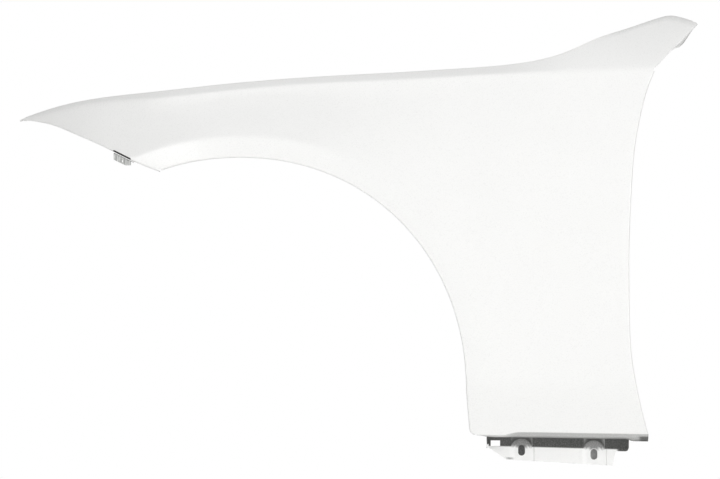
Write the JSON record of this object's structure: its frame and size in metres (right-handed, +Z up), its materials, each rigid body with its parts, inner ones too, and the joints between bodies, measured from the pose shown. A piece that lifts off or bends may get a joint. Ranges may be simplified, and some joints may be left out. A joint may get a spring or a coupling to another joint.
{
  "type": "car fender",
  "caption": "Left front fender of a saloon car: a pressed steel side panel with folded flanges, a bonnet ledge with bolt pads, and welded sill and bumper brackets.",
  "frame": {"origin": "underside of the bonnet ledge's third bolt pad from the front, 14 mm ahead of its hole, where the pad rests on the inner rail", "axes": "+X rearward along the car, +Y inboard into the car, +Z up"},
  "size_m": [1.0857, 0.2085, 0.7204],
  "materials": {
    "body_paint": "gloss white car paint over primer on pressed steel",
    "bracket_paint": "satin white overspray on steel",
    "bracket_primer": "satin grey primer on steel"
  },
  "bodies": {
    "root": {"fender_panel": "body_paint", "sill_bracket": "bracket_paint", "bumper_bracket": "bracket_primer"}
  },
  "joints": []
}
